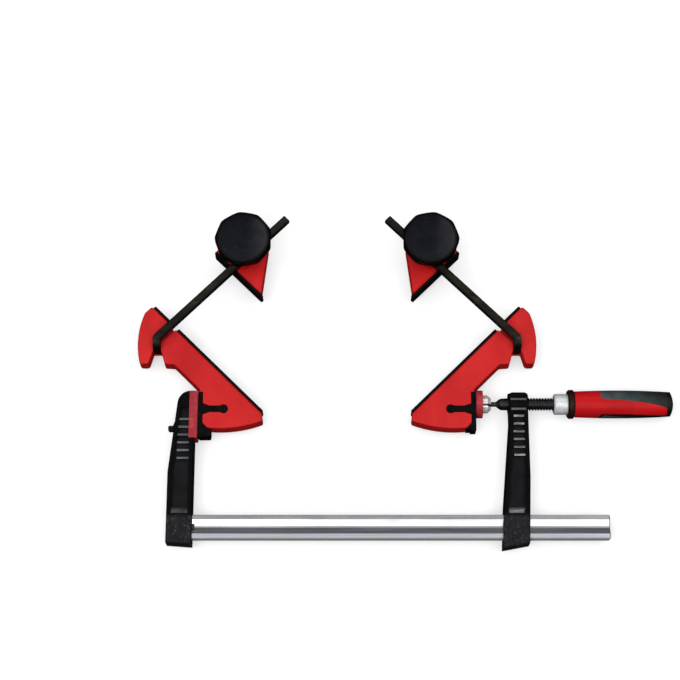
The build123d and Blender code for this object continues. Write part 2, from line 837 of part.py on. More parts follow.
# Rubber facings of the body and of the ear.
with BuildPart() as face_pads:
    with BuildSketch(face_plane.offset(jaw_floor + facing_margin)) as facing_outline:
        for start, end in (
            (nose_place + facing_margin, slot_place - slot_mouth / 2 - facing_margin),
            (slot_place + slot_mouth / 2 + facing_margin, ear_tip_place - ear_tip_corner),
        ):
            with Locations((start, 0)):
                Rectangle(end - start, facing_thickness, align=(Align.MIN, Align.MAX))
        chamfer(facing_outline.vertices().group_by(Axis.Y)[-1], length=facing_edge)
    extrude(amount=jaw_thickness - 2 * facing_margin)
unit["face_pads"] = face_pads


# Contact pad: a plate against the clamp's jaw, a rib in the keyhole, and a heel under the body.
def contact_pad(heel_length, heel_drop, heel_corner):
    with BuildPart() as pad:
        with BuildSketch(Plane.XY.offset(jaw_floor + facing_margin)) as pad_outline:
            with Locations((half_gap, pad_bottom)):
                Rectangle(heel_length, heel_drop, align=(Align.MAX, Align.MAX))
            fillet(pad_outline.vertices().group_by(Axis.Y)[0], radius=heel_corner)
            with BuildLine():
                Polyline(
                    (half_gap, pad_bottom),
                    (half_gap, gusset_top),
                    (contact_x, gusset_top),
                    (half_gap - gusset_length, pad_bottom),
                    close=True,
                )
            make_face()
            offset(jaw_outline.sketch, amount=key_clearance, mode=Mode.SUBTRACT)
            add(pad_plate.sketch)
        extrude(amount=jaw_thickness - 2 * facing_margin)
    return pad


with BuildSketch() as pad_plate:
    offset(pad_bed.sketch, amount=-key_clearance)
    with Locations((half_gap, pad_bottom)):
        Rectangle(2 * half_gap, 2 * half_gap, align=(Align.MAX, Align.MIN), mode=Mode.INTERSECT)
right_contact_pad = contact_pad(right_heel_length, right_heel_drop, right_heel_corner)
left_contact_pad = contact_pad(left_heel_length, left_heel_drop, left_heel_corner)

# Hooked bar: square steel, straight over the board, turned 45 degrees into the slot's lower branch
# and then down to the slot's floor.
bar_start = on_face(slot_place, bar_end)
with BuildPart() as hook_bar:
    with BuildLine() as bar_path:
        FilletPolyline(
            (*bar_start, bar_axis),
            (*elbow, bar_axis),
            (elbow[0], elbow[1] - hook_leg, bar_axis),
            (elbow[0], elbow[1] - hook_leg, slot_floor + hook_seat),
            radius=bar_bend_radius,
        )
    with BuildSketch(Plane(origin=(*bar_start, bar_axis), x_dir=(1, 1, 0), z_dir=(1, -1, 0))):
        RectangleRounded(bar_size, bar_size, bar_edge)
    sweep(path=bar_path.wire())
    with BuildSketch(face_plane.offset(bar_axis)):
        with Locations((slot_place, bar_end - stop_pin_inset)):
            Circle(stop_pin_radius)
    extrude(amount=bar_size, both=True, mode=Mode.SUBTRACT)
unit["hook_bar"] = hook_bar

with BuildPart() as bar_stop_pin:
    with BuildSketch(face_plane.offset(bar_axis)):
        with Locations((slot_place, bar_end - stop_pin_inset)):
            Circle(stop_pin_radius)
    extrude(amount=bar_size / 2 + stop_pin_proud, both=True)
unit["bar_stop_pin"] = bar_stop_pin

# Counter jaw: a wedge-shaped jaw with a raised housing that the bar runs through. A slit lets the
# knob's stud pinch the housing onto the bar. The nut's pocket is open below.
with BuildPart() as slider_body:
    with BuildSketch(face_plane.offset(slider_bottom)) as slider_outline:
        with BuildLine():
            Polyline(
                (slider_face_start + slider_tip, board_width + facing_thickness),
                (slider_face_start + slider_heel, slider_back),
                (slider_face_end - slider_bevel, slider_back),
                (slider_face_end, slider_back - slider_bevel_depth),
                (slider_face_end, board_width + facing_thickness),
                close=True,
            )
        make_face()
        slider_corners = slider_outline.vertices().sort_by(Axis.X)
        fillet(slider_corners[0], radius=slider_tip_corner)
        fillet(slider_corners[1], radius=slider_heel_corner)
    extrude(amount=slider_jaw_top - slider_bottom)
    chamfer(slider_body.faces().sort_by(Axis.Z)[-1].edges(), length=slider_edge)
    chamfer(slider_body.faces().sort_by(Axis.Z)[0].edges(), length=slider_foot_edge)
    with BuildSketch(face_plane.offset(nut_seat)):
        with Locations((slot_place - housing_near, slider_back)):
            RectangleRounded(
                knob_side + housing_near + housing_far,
                housing_length,
                housing_corner,
                align=(Align.MIN, Align.MAX),
            )
    extrude(amount=slider_top - nut_seat)
    with BuildSketch(face_plane.offset(bar_low - slider_clearance)):
        with Locations((slot_place, board_width)):
            Rectangle(bar_size + 2 * slider_clearance, 3 * slider_depth)
    extrude(amount=bar_size + 2 * slider_clearance, mode=Mode.SUBTRACT)
    with BuildSketch(face_plane.offset(bar_axis - slit_width / 2)):
        with Locations((slot_place, board_width)):
            Rectangle(slider_depth, 2 * slider_depth, align=(Align.MIN, Align.MIN))
    extrude(amount=slit_width, mode=Mode.SUBTRACT)
    with BuildSketch(face_plane.offset(slider_bottom)):
        with Locations((knob_along, knob_across)):
            Circle(stud_radius + stud_clearance)
    extrude(amount=slider_top, mode=Mode.SUBTRACT)
    with BuildSketch(face_plane.offset(slider_bottom)):
        with Locations((knob_along, knob_across)):
            Rectangle(nut_size + 2 * nut_clearance, nut_size + 2 * nut_clearance)
    extrude(amount=nut_seat - slider_bottom, mode=Mode.SUBTRACT)
unit["slider_body"] = slider_body

with BuildPart() as slider_pad:
    with BuildSketch(face_plane.offset(slider_bottom + facing_margin)) as slider_facing:
        with Locations((slider_face_start, board_width)):
            Rectangle(slider_face_end - slider_face_start, facing_thickness, align=(Align.MIN, Align.MIN))
        chamfer(slider_facing.vertices().group_by(Axis.Y)[0], length=facing_edge)
    extrude(amount=slider_jaw_top - slider_bottom - 2 * facing_margin)
unit["slider_pad"] = slider_pad

# Clamp screw: a square nut, a washer and a stud that is moulded into the knob.
with BuildPart() as clamp_nut:
    with BuildSketch(face_plane.offset(nut_seat - nut_height)):
        with Locations((knob_along, knob_across)):
            Rectangle(nut_size, nut_size)
            Circle(stud_radius + stud_clearance, mode=Mode.SUBTRACT)
    extrude(amount=nut_height)
unit["clamp_nut"] = clamp_nut

with BuildPart() as knob_washer:
    with BuildSketch(face_plane.offset(slider_top)):
        with Locations((knob_along, knob_across)):
            Circle(washer_radius)
            Circle(stud_radius + stud_clearance, mode=Mode.SUBTRACT)
    extrude(amount=washer_thickness)
unit["knob_washer"] = knob_washer

with BuildPart() as knob_stud:
    with BuildSketch(face_plane.offset(stud_low_end)):
        with Locations((knob_along, knob_across)):
            Circle(stud_radius)
    extrude(amount=knob_bottom + stud_in_knob - stud_low_end)
    chamfer(knob_stud.faces().sort_by(Axis.Z)[0].edges(), length=stud_end_chamfer)
unit["knob_stud"] = knob_stud

# Knob: a turned body with a domed top and a hollowed underside, cut to nine soft sides.
knob_place = on_face(knob_along, knob_across)
with BuildPart() as knob:
    with BuildSketch(Plane(origin=(*knob_place, 0), x_dir=(1, 0, 0), z_dir=(0, -1, 0))):
        with BuildLine():
            Polyline(
                (0, knob_rim_high + knob_dome),
                (0, knob_bottom),
                (knob_hub_radius, knob_bottom),
                (knob_hub_radius + knob_hub_flare, knob_rim_low + knob_under_rise),
                (knob_flat_radius - knob_rim_width - knob_under_slope, knob_rim_low + knob_under_rise),
                (knob_flat_radius - knob_rim_width, knob_rim_low),
                (knob_blank_radius - knob_rim_edge, knob_rim_low),
                (knob_blank_radius, knob_rim_low + knob_rim_edge),
                (knob_blank_radius, knob_rim_high - knob_shoulder),
                (knob_blank_radius - knob_shoulder, knob_rim_high),
            )
            TangentArc(
                (0, knob_rim_high + knob_dome),
                (knob_blank_radius - knob_shoulder, knob_rim_high),
                tangent=(1, 0),
            )
        make_face()
    revolve(axis=Axis((*knob_place, 0), (0, 0, 1)))
    with BuildSketch(Plane.XY.offset(knob_bottom)) as knob_plan:
        with Locations(knob_place):
            RegularPolygon(knob_flat_radius, knob_sides, major_radius=False)
        fillet(knob_plan.vertices(), radius=knob_corner_radius)
    extrude(amount=2 * knob_flat_radius, mode=Mode.INTERSECT)
    with BuildSketch(Plane.XY.offset(knob_bottom)):
        with Locations(knob_place):
            Circle(stud_radius)
    extrude(amount=stud_in_knob, mode=Mode.SUBTRACT)
unit["knob"] = knob

# Each piece of the right unit, and its mirror image on the left. The two contact pads differ in
# their heels.
for name, builder in unit.items():
    keep(builder, "right_" + name)
    with BuildPart() as left_piece:
        mirror(builder.part, about=Plane.YZ)
    keep(left_piece, "left_" + name)
keep(right_contact_pad, "right_contact_pad")
with BuildPart() as left_piece:
    mirror(left_contact_pad.part, about=Plane.YZ)
keep(left_piece, "left_contact_pad")

# The finished part stands over its origin, and each piece goes to its own file.
box = Compound(list(pieces.values())).bounding_box()
placing = Location((-box.center().X, -box.center().Y, -box.min.Z))
os.makedirs("parts", exist_ok=True)
for name, piece in pieces.items():
    placed = piece.moved(placing)
    placed.label = name
    export_step(placed, f"parts/{name}.step")
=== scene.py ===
import math

import bmesh
import bpy
from mathutils import Matrix, Vector

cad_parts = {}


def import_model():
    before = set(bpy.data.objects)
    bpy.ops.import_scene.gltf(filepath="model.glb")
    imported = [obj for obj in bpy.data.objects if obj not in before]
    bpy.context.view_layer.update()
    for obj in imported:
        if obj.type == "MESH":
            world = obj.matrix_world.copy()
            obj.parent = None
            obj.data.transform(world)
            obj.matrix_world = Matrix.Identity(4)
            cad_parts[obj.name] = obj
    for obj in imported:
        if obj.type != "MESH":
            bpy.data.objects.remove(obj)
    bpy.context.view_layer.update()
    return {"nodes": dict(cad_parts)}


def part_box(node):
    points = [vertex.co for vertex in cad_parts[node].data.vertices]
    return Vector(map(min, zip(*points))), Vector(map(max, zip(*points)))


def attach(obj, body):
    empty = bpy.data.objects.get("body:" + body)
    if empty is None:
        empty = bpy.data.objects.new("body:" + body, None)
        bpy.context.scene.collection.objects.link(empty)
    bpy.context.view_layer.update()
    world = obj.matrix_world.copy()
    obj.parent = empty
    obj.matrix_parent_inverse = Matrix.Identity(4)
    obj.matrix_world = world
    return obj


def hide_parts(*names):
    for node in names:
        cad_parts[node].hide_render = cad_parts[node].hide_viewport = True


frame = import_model()
nodes = frame["nodes"]

# Rail
# A cold-drawn steel bar with a wide groove rolled into both faces, zinc plated and left bright.
# It is sawn to length and chamfered, and the draw marks and the arms' rub marks run along it.
rail_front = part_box("rail")[0][1]
rail_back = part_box("rail")[1][1]
rail_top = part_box("rail")[1][2]
rail_middle = (rail_front + rail_back) / 2
side_face = (rail_back - rail_front) / 2 - 0.00065
corner_width = 0.00165
land_width = 0.0053
slope_foot = 0.0116
edge_depth = 0.001


def finish_coat(name, color, roughness, metallic=0.0, specular=0.5):
    """A new coat of one even colour and gloss, which the next steps may vary."""
    coat = bpy.data.materials.new(name)
    coat.use_nodes = True
    shader = coat.node_tree.nodes["Principled BSDF"]
    shader.inputs["Base Color"].default_value = (*color, 1)
    shader.inputs["Roughness"].default_value = roughness
    shader.inputs["Metallic"].default_value = metallic
    shader.inputs["Specular IOR Level"].default_value = specular
    return coat


def join(coat, out, into):
    coat.node_tree.links.new(out, into)


def marks(coat, scale, detail, stretch=(1, 1, 1), turn=(0, 0, 0)):
    """A cloudy noise that lies still on the piece, drawn out along an axis by a small stretch."""
    tree = coat.node_tree
    place = tree.nodes.new("ShaderNodeTexCoord")
    mapping = tree.nodes.new("ShaderNodeMapping")
    mapping.inputs["Rotation"].default_value = turn
    mapping.inputs["Scale"].default_value = stretch
    noise = tree.nodes.new("ShaderNodeTexNoise")
    noise.inputs["Scale"].default_value = scale
    noise.inputs["Detail"].default_value = detail
    join(coat, place.outputs["Object"], mapping.inputs["Vector"])
    join(coat, mapping.outputs["Vector"], noise.inputs["Vector"])
    return noise.outputs[0]


def spread(coat, signal, low, high, to_low=0.0, to_high=1.0):
    """Goes evenly from one value to another while the signal goes from low to high."""
    remap = coat.node_tree.nodes.new("ShaderNodeMapRange")
    remap.inputs["From Min"].default_value = low
    remap.inputs["From Max"].default_value = high
    remap.inputs["To Min"].default_value = to_low
    remap.inputs["To Max"].default_value = to_high
    join(coat, signal, remap.inputs["Value"])
    return remap.outputs["Result"]


def tint(coat, signal, *stops):
    """Turns a signal into colours, each stop being a reading and its colour."""
    ramp = coat.node_tree.nodes.new("ShaderNodeValToRGB")
    while len(ramp.color_ramp.elements) < len(stops):
        ramp.color_ramp.elements.new(0.5)
    for element, (position, color) in zip(ramp.color_ramp.elements, stops):
        element.position = position
        element.color = (*color, 1)
    join(coat, signal, ramp.inputs["Fac"])
    return ramp.outputs["Color"]


def wear(coat, amount, under, over):
    """Shows one colour where the amount is 0 and the other where it is 1."""
    mix = coat.node_tree.nodes.new("ShaderNodeMix")
    mix.data_type = "RGBA"
    join(coat, amount, mix.inputs["Factor"])
    for value, socket in ((under, mix.inputs[6]), (over, mix.inputs[7])):
        if isinstance(value, tuple):
            socket.default_value = (*value, 1)
        else:
            join(coat, value, socket)
    return mix.outputs[2]


def feed(coat, signal, socket):
    """Lets a signal or a colour set one value of the coat, point by point."""
    join(coat, signal, coat.node_tree.nodes["Principled BSDF"].inputs[socket])


def polish(coat, signal, low, high, smooth, rough):
    """Goes from a smooth to a rough gloss while the signal goes from low to high."""
    feed(coat, spread(coat, signal, low, high, smooth, rough), "Roughness")


def relief(coat, signal, depth, strength=1.0):
    """A fine unevenness of the surface, laid over any that the coat already has."""
    bump = coat.node_tree.nodes.new("ShaderNodeBump")
    bump.inputs["Distance"].default_value = depth
    bump.inputs["Strength"].default_value = strength
    join(coat, signal, bump.inputs["Height"])
    shader = coat.node_tree.nodes["Principled BSDF"]
    if shader.inputs["Normal"].links:
        join(coat, shader.inputs["Normal"].links[0].from_socket, bump.inputs["Normal"])
    join(coat, bump.outputs["Normal"], shader.inputs["Normal"])


def dress(coat, *names):
    """Puts a coat on pieces that the frame brings along."""
    for name in names:
        for slot in nodes[name].material_slots:
            slot.material = coat


def combine(coat, kind, *terms):
    """One step of arithmetic on signals and plain numbers."""
    step = coat.node_tree.nodes.new("ShaderNodeMath")
    step.operation = kind
    for value, socket in zip(terms, step.inputs):
        if isinstance(value, (int, float)):
            socket.default_value = value
        else:
            join(coat, value, socket)
    return step.outputs[0]


def place_along(coat, axis):
    """Where a point lies along an axis."""
    place = coat.node_tree.nodes.new("ShaderNodeTexCoord")
    split = coat.node_tree.nodes.new("ShaderNodeSeparateXYZ")
    join(coat, place.outputs["Object"], split.inputs["Vector"])
    return split.outputs[axis]


def run_past(coat, axis, line):
    """How far a point lies beyond a line across the piece, less than 0 before it."""
    return combine(coat, "SUBTRACT", place_along(coat, axis), line)


def run_off(coat, axis, line):
    """How far a point lies from a line across the piece, to either side."""
    return combine(coat, "ABSOLUTE", run_past(coat, axis, line))


def after(coat, axis, line, blur):
    """1 beyond a line across the piece and 0 before it, blurred by so much on each side."""
    return spread(coat, place_along(coat, axis), line - blur, line + blur)


def before(coat, axis, line, blur):
    """0 beyond a line across the piece and 1 before it, blurred by so much on each side."""
    return spread(coat, place_along(coat, axis), line + blur, line - blur)


drawn_steel = finish_coat("drawn_steel", (0.55, 0.55, 0.57), 0.2, 0.9)
draw_lines = marks(drawn_steel, 700, 2, (0.015, 1, 1))
rub_marks = marks(drawn_steel, 120, 5, (0.12, 1, 1))
zinc_cloud = marks(drawn_steel, 30, 4)
zinc_grey = tint(drawn_steel, zinc_cloud, (0.3, (0.45, 0.46, 0.48)), (0.7, (0.56, 0.56, 0.58)))
steel_face = wear(drawn_steel, spread(drawn_steel, rub_marks, 0.5, 0.75), zinc_grey, (0.37, 0.37, 0.4))
# Painted light on the groove: the near slope is painted darker as painted shade, and the front land lighter
# as a painted highlight.
near_slope_shade = before(drawn_steel, "Y", rail_front + slope_foot, 0.0005)
steel_face = wear(drawn_steel, near_slope_shade, steel_face, (0.33, 0.35, 0.38))
front_land_highlight = before(drawn_steel, "Y", rail_front + land_width, 0.0003)
steel_face = wear(drawn_steel, front_land_highlight, steel_face, (0.72, 0.73, 0.79))
# The narrow faces and the front corner are painted a pale matt grey as painted light, darker along the top
# edge as painted shade.
edge_light_and_shade = tint(drawn_steel, draw_lines, (0.3, (0.6, 0.61, 0.64)), (0.7, (0.8, 0.8, 0.82)))
top_edge_shade = after(drawn_steel, "Z", rail_top - edge_depth, 0.0006)
edge_light_and_shade = wear(drawn_steel, top_edge_shade, edge_light_and_shade, (0.32, 0.33, 0.36))
off_middle = run_off(drawn_steel, "Y", rail_middle)
narrow_face = spread(drawn_steel, off_middle, side_face - 0.00025, side_face + 0.00025)
front_corner = before(drawn_steel, "Y", rail_front + corner_width, 0.00035)
matt_edge = combine(drawn_steel, "MAXIMUM", narrow_face, front_corner)
feed(drawn_steel, wear(drawn_steel, matt_edge, steel_face, edge_light_and_shade), "Base Color")
feed(drawn_steel, spread(drawn_steel, matt_edge, 0, 1, 0.92, 0.1), "Metallic")
polish(drawn_steel, draw_lines, 0.3, 0.7, 0.12, 0.24)
relief(drawn_steel, draw_lines, 0.00003)
dress(drawn_steel, "rail")

# Arms
# Malleable iron castings with a recessed web and ladder ribs, tumbled and then powder coated black.
# Grey strips on the crests of the ribs and on the boss are painted highlights, and the ramp by the rail is
# painted shade on its upper part.
screw_y = (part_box("handle_collar")[0][1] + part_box("handle_collar")[1][1]) / 2
screw_z = (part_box("handle_collar")[0][2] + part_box("handle_collar")[1][2]) / 2
rim_height = 0.0091
between_arms = -0.195
head_start = screw_y - 0.012
ramp_start = rail_back + 0.0058
ramp_end = rail_back + 0.0195

arm_coat = finish_coat("arm_coat", (0.004, 0.004, 0.004), 0.45, specular=0.05)
coat_pebble = marks(arm_coat, 1100, 3)
coat_cloud = marks(arm_coat, 90, 5)
coat_chips = marks(arm_coat, 420, 8)
off_mid_height = run_off(arm_coat, "Z", screw_z)
on_web = spread(arm_coat, off_mid_height, rim_height - 0.0003, rim_height + 0.0003, 0.55, 0.0)
on_foot = before(arm_coat, "Y", rail_back - 0.002, 0.002)
coat_black = tint(arm_coat, coat_cloud, (0.3, (0.0003, 0.0003, 0.0004)), (0.7, (0.0012, 0.0012, 0.0015)))
coat_grey = tint(arm_coat, coat_cloud, (0.3, (0.008, 0.008, 0.0095)), (0.7, (0.017, 0.017, 0.0195)))
# Inside the rims the web is a greyer black, and the feet are greyer and chipped.
coat_web_and_foot = wear(arm_coat, combine(arm_coat, "MAXIMUM", on_web, on_foot), coat_black, coat_grey)
chipped = combine(arm_coat, "MULTIPLY", on_foot, spread(arm_coat, coat_chips, 0.56, 0.7))
feed(arm_coat, wear(arm_coat, chipped, coat_web_and_foot, (0.045, 0.045, 0.047)), "Base Color")
polish(arm_coat, coat_cloud, 0.3, 0.7, 0.4, 0.6)
relief(arm_coat, coat_pebble, 0.00012)
relief(arm_coat, coat_cloud, 0.0003, 0.5)
dress(arm_coat, "fixed_bracket", "sliding_arm")

# Painted highlight: the grey of the rib crests, the head lines and the ramp.
highlight_iron = finish_coat("highlight_iron", (0.2, 0.2, 0.21), 0.42, 0.3, 0.4)
iron_scratches = marks(highlight_iron, 500, 5, (0.2, 1, 1))
iron_cloud = marks(highlight_iron, 60, 3)
iron_dark = tint(highlight_iron, iron_cloud, (0.35, (0.03, 0.03, 0.032)), (0.65, (0.12, 0.12, 0.125)))
iron_light = tint(highlight_iron, iron_cloud, (0.35, (0.14, 0.14, 0.145)), (0.65, (0.34, 0.34, 0.35)))
iron_grey = wear(highlight_iron, spread(highlight_iron, iron_scratches, 0.35, 0.6), iron_dark, iron_light)
iron_dull = tint(highlight_iron, iron_cloud, (0.3, (0.035, 0.042, 0.043)), (0.7, (0.11, 0.12, 0.122)))
# The painted highlight is dimmer on the bracket and on the arm's head.
dimmer_highlight = combine(highlight_iron, "MAXIMUM", before(highlight_iron, "X", between_arms, 0.005),
                    after(highlight_iron, "Y", head_start, 0.0005))
crest_highlight = wear(highlight_iron, dimmer_highlight, iron_grey, iron_dull)
# Painted shade on the upper part of the ramp.
ramp_shade = combine(highlight_iron, "MULTIPLY", after(highlight_iron, "Y", ramp_start, 0.002),
                  before(highlight_iron, "Y", ramp_end, 0.0005))
feed(highlight_iron, wear(highlight_iron, ramp_shade, crest_highlight, (0.011, 0.011, 0.012)), "Base Color")
polish(highlight_iron, iron_scratches, 0.3, 0.7, 0.5, 0.32)
relief(highlight_iron, iron_scratches, 0.00006)

crest_radius = 0.00125
crest_flatness = 0.45
crest_height = 0.0087
crest_pitch = 0.0084
crest_count = 6
ramp_run = 0.0094
ramp_depth = 0.003
ramp_y = rail_back + 0.0044
ramp_height = 0.00776
ramp_slope = math.radians(28.5)
soft_corner = math.radians(32)


def finish_piece(name, work, coat, body, *hidden):
    """Makes a piece of a bmesh, smooth but for its sharp corners, and rides it on a body."""
    mesh = bpy.data.meshes.new(name)
    bmesh.ops.recalc_face_normals(work, faces=work.faces)
    for face in work.faces:
        face.smooth = True
    for edge in work.edges:
        edge.smooth = len(edge.link_faces) == 2 and edge.calc_face_angle(0) < soft_corner
    work.to_mesh(mesh)
    work.free()
    mesh.materials.append(coat)
    piece = bpy.data.objects.new(name, mesh)
    bpy.context.collection.objects.link(piece)
    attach(piece, body)
    if hidden:
        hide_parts(*hidden)


def rib_highlights(name, body, rib_x, rib_y, rib_length, ramp_x, ramp_width, head_lines=()):
    """Grey strips on the crests of an arm's ribs, and a ramp where its web meets the rail, above and below,
    all painted highlights.

    A head line is one more such strip, given as its place across the arm, its height and its length."""
    work = bmesh.new()
    lengthwise = Matrix.Rotation(math.pi / 2, 3, "Y")
    ribs = [(rib_y + (count - (crest_count - 1) / 2) * crest_pitch, crest_height, rib_length)
            for count in range(crest_count)]
    for side in (1, -1):
        for line_y, line_height, line_length in [*ribs, *head_lines]:
            crest = bmesh.ops.create_cone(work, cap_ends=True, segments=16, radius1=crest_radius,
                                          radius2=crest_radius, depth=line_length)["verts"]
            bmesh.ops.rotate(work, verts=crest, cent=(0, 0, 0), matrix=lengthwise)
            bmesh.ops.scale(work, verts=crest, vec=(1, 1, crest_flatness))
            bmesh.ops.translate(work, verts=crest, vec=(rib_x, line_y, screw_z + side * line_height))
        ramp = bmesh.ops.create_cube(work, size=1)["verts"]
        bmesh.ops.scale(work, verts=ramp, vec=(ramp_width, ramp_run, ramp_depth))
        bmesh.ops.translate(work, verts=ramp, vec=(0, 0, -side * ramp_depth / 2))
        tilt = Matrix.Rotation(-side * ramp_slope, 3, "X")
        bmesh.ops.rotate(work, verts=ramp, cent=(0, 0, 0), matrix=tilt)
        bmesh.ops.translate(work, verts=ramp, vec=(ramp_x, ramp_y, screw_z + side * ramp_height))
    finish_piece(name, work, highlight_iron, body)


rib_highlights("bracket_crests", "clamp_frame", rib_x=-0.23093, rib_y=screw_y - 0.0395, rib_length=0.0122,
          ramp_x=-0.23288, ramp_width=0.018)
rib_highlights("arm_crests", "slide_arm", rib_x=0.11902, rib_y=screw_y - 0.036, rib_length=0.0121,
          ramp_x=0.11412, ramp_width=0.0182,
          head_lines=((screw_y + 0.0026, 0.0112, 0.0165), (screw_y - 0.0077, 0.01, 0.0155)))

turning_steps = 64
merge_distance = 0.000002


def turned(outline):
    """A piece turned round the screw's axis, from an outline of places along it and radii."""
    work = bmesh.new()
    points = [work.verts.new((x, 0, r)) for x, r in outline]
    rods = [work.edges.new(pair) for pair in zip(points, points[1:])]
    bmesh.ops.spin(work, geom=points + rods, cent=(0, 0, 0), axis=(1, 0, 0), dvec=(0, 0, 0),
                   angle=2 * math.pi, steps=turning_steps, use_merge=True)
    bmesh.ops.remove_doubles(work, verts=work.verts, dist=merge_distance)
    bmesh.ops.recalc_face_normals(work, faces=work.faces)
    bmesh.ops.translate(work, verts=work.verts, vec=(0, screw_y, screw_z))
    return work


boss_start = 0.10877
boss_end = 0.12927
boss_bore = 0.0069
boss_radius = 0.0115
boss_chamfer = 0.0005
boss_work = turned([
    (boss_start, boss_bore),
    (boss_start, boss_radius - boss_chamfer),
    (boss_start + boss_chamfer, boss_radius),
    (boss_end - boss_chamfer, boss_radius),
    (boss_end, boss_radius - boss_chamfer),
    (boss_end, boss_bore),
    (boss_start, boss_bore),
])
finish_piece("arm_boss", boss_work, arm_coat, "slide_arm")

# Wedges
# Two small steel wedges, driven into the rail's grooves from the inner side of the bracket.
# They are blackened in hot oil, and their driven ends are bruised by the punch.
oil_black = finish_coat("oil_black", (0.02, 0.02, 0.022), 0.45, 0.4, 0.4)
oil_stains = marks(oil_black, 260, 5)
oil_shades = tint(oil_black, oil_stains, (0.35, (0.01, 0.01, 0.011)), (0.7, (0.05, 0.048, 0.046)))
feed(oil_black, oil_shades, "Base Color")
polish(oil_black, oil_stains, 0.3, 0.7, 0.35, 0.6)
relief(oil_black, oil_stains, 0.00015)
dress(oil_black, "rail_wedges")

# Jaw caps
# Soft red vinyl caps, dipped and trimmed, pushed over the bracket's jaw and over the pressure plate.
# They go pinkish and dull where work and glue have rubbed them.
cap_vinyl = finish_coat("cap_vinyl", (0.34, 0.026, 0.036), 0.45, specular=0.15)
cap_rub = marks(cap_vinyl, 150, 6)
cap_reds = tint(cap_vinyl, cap_rub, (0.25, (0.27, 0.016, 0.024)), (0.55, (0.34, 0.026, 0.036)),
                (0.8, (0.44, 0.07, 0.085)))
feed(cap_vinyl, cap_reds, "Base Color")
polish(cap_vinyl, cap_rub, 0.3, 0.7, 0.38, 0.58)
relief(cap_vinyl, marks(cap_vinyl, 900, 3), 0.00008)
dress(cap_vinyl, "fixed_jaw_cap", "plate_cap")

# Screw
# A turned spindle with a rolled trapezoid thread of 3 mm pitch, blackened in hot oil. It ends in a
# neck and a ball, which the pressure plate is crimped on, and its plain tang runs into the handle.
spindle_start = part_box("spindle")[0][0]
spindle_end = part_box("spindle")[1][0]
ball_radius = 0.006
ball_x = spindle_start + ball_radius
neck_radius = 0.0025
neck_start = ball_x + math.sqrt(ball_radius**2 - neck_radius**2)
neck_end = ball_x + 0.0118
plain_radius = 0.0063
tang_radius = 0.0053
tang_start = ball_x + 0.0799
thread_start = ball_x + 0.0292
thread_outer = 0.0067
thread_root = 0.0055
thread_pitch = 0.003
thread_turns = 16
thread_steps = 24
ridge_foot = 0.0011
ridge_crest = 0.0005
ridge_sink = 0.0002

ball_side = [(ball_x - ball_radius * math.cos(math.radians(a)), ball_radius * math.sin(math.radians(a)))
             for a in range(0, 156, 12)]
spindle_work = turned([
    *ball_side,
    (neck_start, neck_radius),
    (neck_end, neck_radius),
    (ball_x + 0.0128, 0.0029),
    (ball_x + 0.0141, 0.0040),
    (ball_x + 0.0153, 0.0050),
    (ball_x + 0.0167, 0.0058),
    (ball_x + 0.0183, 0.0062),
    (ball_x + 0.0243, plain_radius),
    (ball_x + 0.0276, plain_radius),
    (ball_x + 0.0283, thread_root),
    (tang_start, thread_root),
    (tang_start, tang_radius),
    (spindle_end, tang_radius),
    (spindle_end, 0),
])
ridge = [spindle_work.verts.new((thread_start + along, screw_y, screw_z + radius)) for along, radius in (
    (-ridge_foot, thread_root - ridge_sink), (-ridge_crest, thread_outer),
    (ridge_crest, thread_outer), (ridge_foot, thread_root - ridge_sink))]
ridge_rods = [spindle_work.edges.new(pair) for pair in zip(ridge, ridge[1:] + ridge[:1])]
wound = bmesh.ops.spin(spindle_work, geom=ridge + ridge_rods, cent=(0, screw_y, screw_z), axis=(1, 0, 0),
                       dvec=(thread_pitch / thread_steps, 0, 0), angle=2 * math.pi * thread_turns,
                       steps=thread_steps * thread_turns, use_merge=False)
ridge_end = [item for item in wound["geom_last"] if isinstance(item, bmesh.types.BMVert)]
bmesh.ops.contextual_create(spindle_work, geom=ridge)
bmesh.ops.contextual_create(spindle_work, geom=ridge_end)

screw_black = finish_coat("screw_black", (0.01, 0.01, 0.012), 0.3, 0.5, 0.4)
turning_lines = marks(screw_black, 800, 2, (1, 0.05, 0.05))
screw_shades = tint(screw_black, marks(screw_black, 220, 5), (0.35, (0.005, 0.005, 0.007)),
                    (0.75, (0.022, 0.022, 0.027)))
feed(screw_black, screw_shades, "Base Color")
polish(screw_black, turning_lines, 0.3, 0.7, 0.22, 0.42)
relief(screw_black, turning_lines, 0.00003)
finish_piece("spindle_threaded", spindle_work, screw_black, "screw", "spindle")

# Pressure plate
# A steel disc with a bell-shaped hub, pressed, zinc plated and spun shut over the spindle's ball.
# The ball runs in a cream nylon liner, of which only the rim shows in the hub's mouth.
shade_y = screw_y - 0.0029
shade_half = 0.00125

plate_zinc = finish_coat("plate_zinc", (0.85, 0.84, 0.83), 0.14, 0.5)
spin_rings = marks(plate_zinc, 900, 2, (1, 0.08, 0.08))
polish(plate_zinc, marks(plate_zinc, 160, 5), 0.3, 0.75, 0.1, 0.26)
plate_cloud = marks(plate_zinc, 70, 4)
plate_bright = tint(plate_zinc, plate_cloud, (0.3, (0.82, 0.8, 0.79)), (0.7, (0.94, 0.92, 0.91)))
off_shade = run_off(plate_zinc, "Y", shade_y)
hub_shade = spread(plate_zinc, off_shade, shade_half + 0.00025, shade_half - 0.00025)
feed(plate_zinc, wear(plate_zinc, hub_shade, plate_bright, (0.03, 0.018, 0.018)), "Base Color")
relief(plate_zinc, spin_rings, 0.00002)
dress(plate_zinc, "pressure_plate")

liner_nylon = finish_coat("liner_nylon", (0.7, 0.67, 0.6), 0.4)
nylon_cloud = marks(liner_nylon, 240, 4)
nylon_cream = tint(liner_nylon, nylon_cloud, (0.3, (0.6, 0.57, 0.5)), (0.7, (0.74, 0.71, 0.65)))
feed(liner_nylon, nylon_cream, "Base Color")
dress(liner_nylon, "ball_liner")

